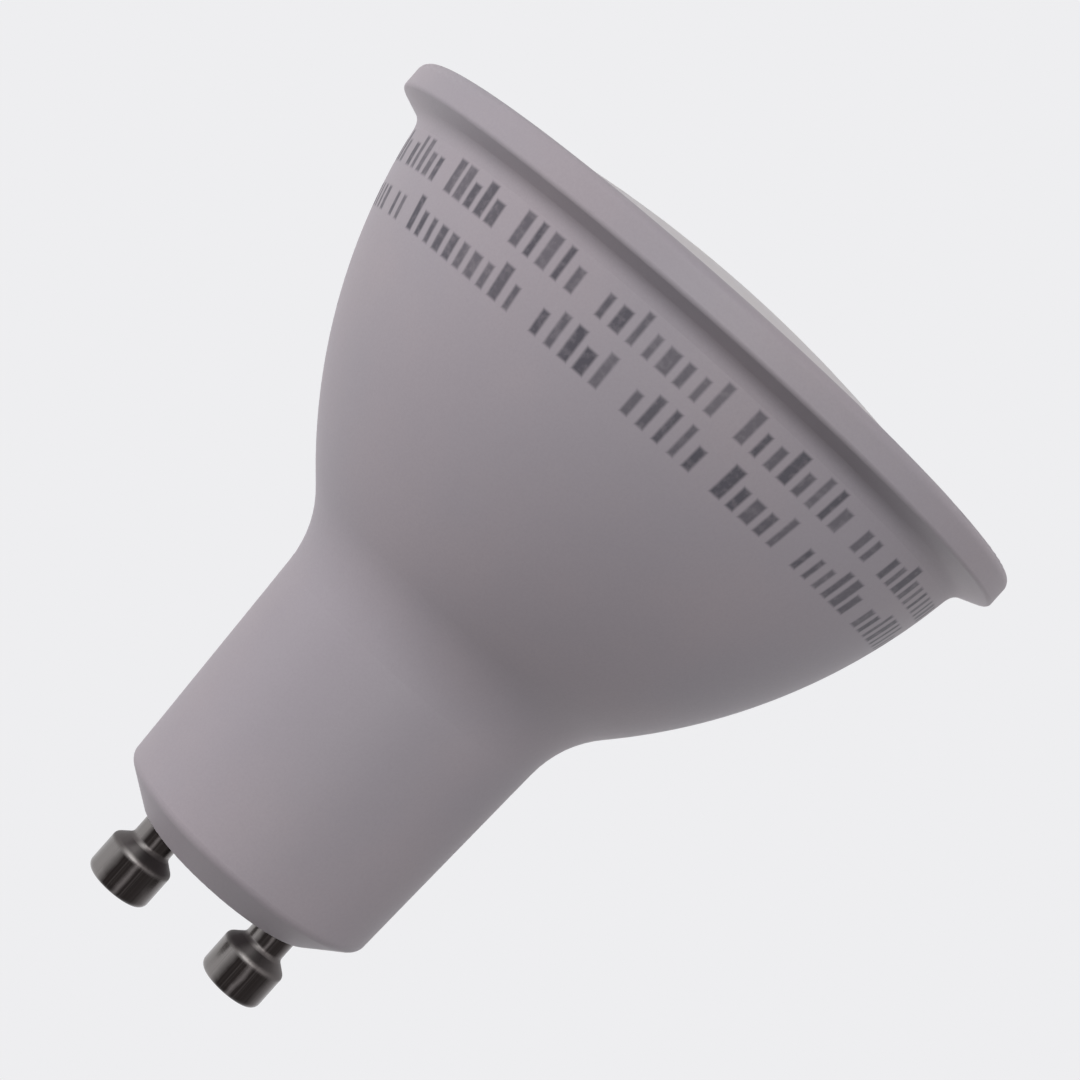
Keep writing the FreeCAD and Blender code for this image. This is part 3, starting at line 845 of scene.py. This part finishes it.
@dataclass(frozen=True)
class EpoxyPackage(Finish):
    """Black moulded package with tinned legs at both sides."""

    epoxy: Colour = srgb(34, 34, 36)
    dust: Colour = srgb(58, 57, 58)
    tin: Colour = srgb(198, 197, 194)
    legs: Span = (1.955, 1.98)
    grain: Mottle = Mottle(0.1, 3.0, (0.45, 0.75))
    dust_cover: float = 0.6
    rough: float = 0.55
    rough_grain: float = 0.15
    leg_shine: float = 0.3
    depth: float = 0.01

    def paint(self, graph: Graph) -> Socket:
        """Legs by their reach, and grained epoxy."""
        place = graph.place()
        legs = abs(graph.axes(place)[0]).rise(*self.legs)
        grain = graph.noise(place, self.grain)
        colour = graph.mix(self.grain.shown(grain) * self.dust_cover, self.epoxy, self.dust)
        colour = graph.mix(legs, colour, self.tin)
        roughness = self.rough + self.rough_grain * grain - self.leg_shine * legs
        return graph.surface(colour, roughness, graph.bump(grain, self.depth), {"Metallic": legs})


@dataclass(frozen=True)
class SleevedCan(Finish):
    """Aluminium can in a shrunk sleeve with one pale stripe."""

    centre: tuple[float, float]
    radius: float
    top: float
    sleeve: Colour = srgb(28, 36, 62)
    stripe: Colour = srgb(196, 198, 204)
    metal: Colour = srgb(206, 207, 210)
    lip: Span = (0.7, 0.6)
    face: Span = (0.02, 0.12)
    score_half: float = 0.12
    score_soft: float = 0.05
    stripe_turn: Span = (0.9, 1.6)
    stripe_soft: float = 0.04
    cloud: Mottle = Mottle(1.4, 3.0)
    rough: float = 0.28
    rough_cloud: float = 0.1
    rough_bare: float = 0.08
    cloud_height: float = 0.3
    score_height: float = 0.7
    depth: float = 0.05

    def paint(self, graph: Graph) -> Socket:
        """Sleeve, stripe and the bare scored top."""
        place = graph.place()
        x, y, z = graph.axes(place)
        x, y = x - self.centre[0], y - self.centre[1]
        radius, angle = graph.polar(x, y)
        inner, outer = self.lip
        bare = 1 - (z - self.top).rise(*self.face)
        bare = bare * (1 - radius.rise(self.radius - inner, self.radius - outer))
        half, soft = self.score_half, self.score_soft
        score = abs(x).below(half, soft) | abs(y).below(half, soft)
        stripe = angle.between(*self.stripe_turn, self.stripe_soft) * (1 - bare)
        cloud = graph.noise(place, self.cloud)
        colour = graph.mix(stripe, self.sleeve, self.stripe)
        colour = graph.mix(bare, colour, self.metal)
        roughness = self.rough + self.rough_cloud * cloud + self.rough_bare * bare
        relief = cloud * self.cloud_height + (1 - score * bare) * self.score_height
        return graph.surface(colour, roughness, graph.bump(relief, self.depth), {"Metallic": bare})


@dataclass(frozen=True)
class WoundChoke(Finish):
    """Ferrite drum with a copper winding between its flanges, and painted shade between its turns."""

    foot: float
    top: float
    flange: float
    ferrite: Colour = srgb(52, 50, 52)
    copper: Colour = srgb(184, 104, 58)
    # Painted shade for the grooves between turns of wire.
    gap: Colour = srgb(96, 46, 24)
    clear: float = 0.01
    wire: float = 0.24
    wire_span: Span = (0.0, 0.5)
    grain: Mottle = Mottle(0.15, 3.0)
    copper_metal: float = 0.85
    rough: float = 0.62
    rough_grain: float = 0.15
    wire_shine: float = 0.35
    wire_height: float = 0.8
    depth: float = 0.08

    def paint(self, graph: Graph) -> Socket:
        """Turns of wire between plain ferrite ends."""
        place = graph.place()
        y = graph.axes(place)[1]
        inner = self.flange + self.clear
        winding = y.between(self.foot + inner, self.top - inner, self.clear)
        turns = (y * (FULL_TURN / self.wire)).wave()
        grain = graph.noise(place, self.grain)
        # Painted shade: the darker gap colour fills the grooves between turns.
        wire = graph.mix(turns.rise(*self.wire_span), self.gap, self.copper)
        colour = graph.mix(winding, self.ferrite, wire)
        roughness = self.rough + self.rough_grain * grain - self.wire_shine * winding
        relief = winding * turns * self.wire_height + grain * (1 - self.wire_height)
        return graph.surface(colour, roughness, graph.bump(relief, self.depth), {
            "Metallic": winding * self.copper_metal})


@dataclass(frozen=True)
class PottedCase(Finish):
    """Red-brown box case with a darker potted foot."""

    foot: float
    case: Colour = srgb(150, 58, 34)
    resin: Colour = srgb(92, 40, 26)
    resin_line: Span = (0.35, 0.45)
    cloud: Mottle = Mottle(1.8, 3.0, (0.45, 0.9))
    grain: Mottle = Mottle(0.14)
    cloud_cover: float = 0.3
    rough: float = 0.4
    rough_grain: float = 0.14
    rough_resin: float = 0.15
    depth: float = 0.012

    def paint(self, graph: Graph) -> Socket:
        """Moulded case and its resin line."""
        place = graph.place()
        y = graph.axes(place)[1]
        cloud = graph.noise(place, self.cloud)
        grain = graph.noise(place, self.grain)
        resin = 1 - (y - self.foot).rise(*self.resin_line)
        colour = graph.mix(resin | self.cloud.shown(cloud) * self.cloud_cover, self.case, self.resin)
        roughness = self.rough + self.rough_grain * grain + self.rough_resin * resin
        return graph.surface(colour, roughness, graph.bump(grain, self.depth))


@dataclass(frozen=True)
class BandedResistor(Finish):
    """Lacquered resistor with colour bands and tinned wires."""

    first: float
    length: float
    lacquer: Colour = srgb(132, 160, 158)
    shade: Colour = srgb(100, 128, 128)
    tin: Colour = srgb(200, 199, 196)
    bands: tuple[Colour, ...] = (
        srgb(120, 66, 30), srgb(30, 28, 28), srgb(176, 44, 36), srgb(186, 150, 62))
    band_width: float = 0.42
    band_soft: float = 0.03
    end_soft: float = 0.02
    cloud: Mottle = Mottle(0.8, 3.0, (0.4, 0.8))
    shade_cover: float = 0.2
    rough: float = 0.3
    rough_cloud: float = 0.12
    depth: float = 0.02

    def paint(self, graph: Graph) -> Socket:
        """Bands set evenly along the body."""
        place = graph.place()
        along = self.first - graph.axes(place)[2]
        wires = 1 - along.between(0.0, self.length, self.end_soft)
        cloud = graph.noise(place, self.cloud)
        colour = graph.mix(self.cloud.shown(cloud) * self.shade_cover, self.lacquer, self.shade)
        pitch = self.length / (len(self.bands) + 1)
        for number, band in enumerate(self.bands, start=1):
            start = pitch * number - self.band_width / 2
            here = along.between(start, start + self.band_width, self.band_soft)
            colour = graph.mix(here, colour, band)
        colour = graph.mix(wires, colour, self.tin)
        roughness = self.rough + self.rough_cloud * cloud
        return graph.surface(colour, roughness, graph.bump(cloud, self.depth), {"Metallic": wires})


class LeadColour(Enum):
    """Colours of the leads: the insulation, and the bloom on it."""

    WHITE = (srgb(225, 224, 220), srgb(200, 198, 194))
    RED = (srgb(178, 34, 30), srgb(198, 70, 62))
    BLACK = (srgb(30, 30, 32), srgb(60, 60, 62))


@dataclass(frozen=True)
class Insulation(Finish):
    """Soft wire insulation with a faint bloom."""

    lead: LeadColour
    cloud: Mottle = Mottle(0.9, 3.0, (0.35, 0.8))
    grain: Mottle = Mottle(0.1)
    bloom_cover: float = 0.5
    rough: float = 0.42
    rough_cloud: float = 0.15
    depth: float = 0.008

    def paint(self, graph: Graph) -> Socket:
        """Bloom and a fine grain."""
        place = graph.place()
        base, bloom = self.lead.value
        cloud = graph.noise(place, self.cloud)
        grain = graph.noise(place, self.grain)
        colour = graph.mix(self.cloud.shown(cloud) * self.bloom_cover, base, bloom)
        return graph.surface(colour, self.rough + self.rough_cloud * cloud, graph.bump(grain, self.depth))


@dataclass(frozen=True)
class FloorPaint(Finish):
    """Pale seamless floor, which fades into the backdrop's colour away from the lamp."""

    pale: Colour = srgb(238, 238, 240)
    fade: Span = (60.0, 420.0)
    hold: float = 0.5
    speck: Mottle = Mottle(2.0, 3.0)
    rough: float = 0.6
    rough_speck: float = 0.1
    gloss: float = 0.2

    def paint(self, graph: Graph) -> Socket:
        """Paint near the lamp, plain backdrop beyond it."""
        place = graph.place()
        x, y, _ = graph.axes(place)
        radius = graph.polar(x, y)[0]
        roughness = self.rough + self.rough_speck * graph.noise(place, self.speck)
        paint = graph.node("ShaderNodeBsdfPrincipled", sockets={
            "Base Color": self.pale, "Roughness": roughness, "Specular IOR Level": self.gloss})
        glow = graph.node("ShaderNodeEmission", sockets={"Color": self.pale, "Strength": 1.0})
        share = seen_directly(graph) * (self.hold + (1 - self.hold) * radius.rise(*self.fade))
        return graph.node("ShaderNodeMixShader", sockets={0: share, 1: paint, 2: glow})


def seen_directly(graph: Graph) -> Socket:
    """1 for rays from the camera, and for what polished or clear surfaces show.

    Args:
        graph: The graph to add to.

    Returns:
        The mask.
    """
    camera = graph.node("ShaderNodeLightPath", out="Is Camera Ray")
    outputs = camera.source.node.outputs
    glossy = Socket(graph, outputs["Is Glossy Ray"])
    clear = Socket(graph, outputs["Is Transmission Ray"])
    return camera | glossy | clear


def dress(finish: Finish, nodes: Sequence[str]) -> None:
    """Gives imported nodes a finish.

    Args:
        finish: The finish.
        nodes: Names of the nodes.
    """
    material = finish.material()
    for name in nodes:
        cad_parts[name].material_slots[0].material = material
        log.info("%s: %s", name, finish.slot)


def box_mm(node: str) -> tuple[Vector, Vector]:
    """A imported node's lowest and highest corner, in millimetres."""
    low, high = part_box(node)
    return low * PER_METRE, high * PER_METRE


def package_names() -> list[str]:
    """Names of the light packages, in order round the ring."""
    return [f"led_{number}" for number in range(1, LED_COUNT + 1)]


def package_ring() -> PackageRing:
    """The packages' ring, from the first package's box."""
    low, high = box_mm(package_names()[0])
    return PackageRing(((low + high) / 2).xy.length)


@dataclass
class Housing:
    """The moulded bell and neck, with its rows of ink behind the rim, in millimetres."""

    row_feet: tuple[float, float] = (42.55, 39.45)
    row_height: float = 2.15
    row_radii: tuple[float, float] = (22.9, 22.2)
    row_seed: float = 31.0

    def rows(self) -> tuple[InkRow, ...]:
        """The ink rows from their sizes."""
        return tuple(
            InkRow(foot, foot + self.row_height, radius, self.row_seed * number)
            for number, (foot, radius) in enumerate(zip(self.row_feet, self.row_radii), start=1))

    def dress(self) -> None:
        """Moulded plastic with ink."""
        dress(MouldedShell("housing", self.rows()), ["housing"])


@dataclass
class FrontCover:
    """The milky domed cover."""

    def dress(self) -> None:
        """Milky plastic."""
        dress(MilkyCover("cover", package_ring()), ["diffuser_cover"])


@dataclass
class ContactPins:
    """The pair of turned pins."""

    names: tuple[str, str] = ("contact_pin_right", "contact_pin_left")

    def dress(self) -> None:
        """Plated metal, turned about each pin's own axis."""
        low, high = box_mm(self.names[0])
        dress(TurnedMetal("pin_metal", (low.x + high.x) / 2), self.names)


@dataclass
class LightEngine:
    """The heat sink cup, its pad, the round board, the light packages and the screws."""

    # Tones of the screws' painted reflection bands: light, middle and dark.
    zinc: tuple[Colour, Colour, Colour] = (srgb(200, 201, 204), srgb(186, 187, 190), srgb(164, 165, 170))
    zinc_polish: float = 0.24

    def dress(self) -> None:
        """Metal, silicone, mask, phosphor and zinc."""
        ring = package_ring()
        rim = box_mm("led_board")[1].x
        screw_high = box_mm("board_screws")[1]
        screw = screw_high.x - screw_high.y
        bright, middle, dark = self.zinc
        dress(SpunAluminium("heat_sink"), ["heat_sink_cup"])
        dress(FilledSilicone("thermal_pad"), ["thermal_pad"])
        dress(LightBoard("led_board", ring, screw, rim), ["led_board"])
        dress(LightPackage("led", ring), package_names())
        dress(TurnedMetal("screw", screw, bright, middle, dark, polish=self.zinc_polish), ["board_screws"])


@dataclass
class Driver:
    """The driver board and what is soldered to it, in millimetres."""

    choke_flange: float = 0.8
    resistor_stub: float = 1.0

    def dress(self) -> None:
        """A finish for each part, placed by its box."""
        low, high = box_mm("driver_board")
        dress(DriverBoard("driver_board", low.y, high.y), ["driver_board"])
        dress(EpoxyPackage("chip"), ["bridge_rectifier", "driver_chip"])
        low, high = box_mm("electrolytic_capacitor")
        middle = (low + high) / 2
        can = SleevedCan("can", (middle.x, middle.y), high.x - middle.x, low.z)
        dress(can, ["electrolytic_capacitor"])
        low, high = box_mm("choke_inductor")
        dress(WoundChoke("choke", low.y, high.y, self.choke_flange), ["choke_inductor"])
        dress(PottedCase("film_case", box_mm("film_capacitor")[0].y), ["film_capacitor"])
        low, high = box_mm("fusible_resistor")
        body_top, body_foot = high.z - self.resistor_stub, low.z + self.resistor_stub
        dress(BandedResistor("resistor", body_top, body_top - body_foot), ["fusible_resistor"])


@dataclass
class Wiring:
    """The leads inside the lamp."""

    def dress(self) -> None:
        """White, red and black insulation."""
        dress(Insulation("input_lead", LeadColour.WHITE), ["input_lead_right", "input_lead_left"])
        dress(Insulation("lead_red", LeadColour.RED), ["led_lead_positive"])
        dress(Insulation("lead_black", LeadColour.BLACK), ["led_lead_negative"])


@dataclass(frozen=True)
class SoftBox:
    """A square soft light, in metres and watts, which polished surfaces may mirror."""

    name: str
    place: tuple[float, float, float]
    side: float
    power: float
    mirrored: bool = True

    def build(self, aim: Vector) -> None:
        """Makes the light.

        Args:
            aim: The point that it faces.
        """
        light = bpy.data.lights.new(self.name, "AREA")
        light.size = self.side
        light.energy = self.power
        lamp = bpy.data.objects.new(self.name, light)
        lamp.location = self.place
        lamp.rotation_mode = "QUATERNION"
        lamp.rotation_quaternion = (aim - Vector(self.place)).to_track_quat("-Z", "Y")
        lamp.visible_camera = False
        lamp.visible_glossy = self.mirrored
        bpy.context.scene.collection.objects.link(lamp)
        log.info("%s: light", self.name)


@dataclass
class Studio:
    """Pale floor and backdrop, soft light, and the camera at the photograph's viewing angle, in metres."""

    floor_radius: float = 3.0
    floor_sides: int = 96
    floor_drop: float = 0.45
    ambient: float = 0.04
    ambient_colour: Colour = srgb(255, 255, 255)
    stand: tuple[float, float, float] = (0.0, -0.15616, -0.03465)
    aim: tuple[float, float, float] = (-0.0008, 0.0, -0.03034)
    roll: float = 138.3
    lens: float = 78.72
    sensor: float = 36.0
    clip: Span = (0.01, 20.0)
    boxes: tuple[SoftBox, ...] = (
        SoftBox("key", (0.4, -0.08, -0.018), 0.3, 1.38, mirrored=False),
        SoftBox("front", (0.0, -0.45, -0.12), 0.3, 0.94),
        SoftBox("fill", (-0.35, -0.3, -0.12), 0.3, 0.4),
        SoftBox("low", (-0.25, -0.15, -0.38), 0.3, 0.1),
        SoftBox("back", (-0.05, 0.4, 0.19), 0.4, 1.8, mirrored=False),
        SoftBox("under", (0.0, 0.12, -0.42), 0.3, 0.2, mirrored=False),
    )

    def build(self) -> None:
        """Floor, world, lights and camera."""
        paint = FloorPaint("floor")
        self.build_floor(paint)
        self.build_world(paint.pale)
        for box in self.boxes:
            box.build(Vector(self.aim))
        self.build_camera()
        bpy.context.scene.view_settings.view_transform = "Standard"

    def build_floor(self, paint: FloorPaint) -> None:
        """A wide disc under the lamp, which hangs from its pins.

        Args:
            paint: The floor's finish.
        """
        mesh = bpy.data.meshes.new("floor")
        shape = bmesh.new()
        bmesh.ops.create_circle(shape, cap_ends=True, segments=self.floor_sides, radius=self.floor_radius)
        shape.to_mesh(mesh)
        shape.free()
        floor = bpy.data.objects.new("floor", mesh)
        floor.location.z = CAD_BOX[0].z - self.floor_drop
        mesh.materials.append(paint.material())
        bpy.context.scene.collection.objects.link(floor)
        log.info("floor: stage")

    def build_world(self, pale: Colour) -> None:
        """A faint even light, and a pale backdrop for what is seen past the floor.

        Args:
            pale: The backdrop's colour.
        """
        world = bpy.data.worlds.new("studio")
        world.use_nodes = True
        bpy.context.scene.world = world
        graph = Graph(world.node_tree)
        light = graph.node("ShaderNodeBackground", sockets={
            "Color": self.ambient_colour, "Strength": self.ambient})
        backdrop = graph.node("ShaderNodeBackground", sockets={"Color": pale, "Strength": 1.0})
        shader = graph.node("ShaderNodeMixShader", sockets={0: seen_directly(graph), 1: light, 2: backdrop})
        graph.node("ShaderNodeOutputWorld", sockets={"Surface": shader})

    def build_camera(self) -> None:
        """A camera level with the bell, rolled until the lamp leans as it does in the photograph."""
        data = bpy.data.cameras.new("camera")
        data.lens = self.lens
        data.sensor_width = self.sensor
        data.clip_start, data.clip_end = self.clip
        camera = bpy.data.objects.new("camera", data)
        camera.location = self.stand
        level = (Vector(self.aim) - Vector(self.stand)).to_track_quat("-Z", "Y")
        camera.rotation_mode = "QUATERNION"
        camera.rotation_quaternion = level @ Quaternion((0, 0, 1), -math.radians(self.roll))
        bpy.context.scene.collection.objects.link(camera)
        bpy.context.scene.camera = camera


def main() -> None:
    """Dresses the lamp and sets the studio round it."""
    logging.basicConfig(level=logging.INFO, format="%(name)s: %(message)s")
    for assembly in (Housing(), FrontCover(), ContactPins(), LightEngine(), Driver(), Wiring()):
        assembly.dress()
    Studio().build()


if __name__ == "__main__":
    main()
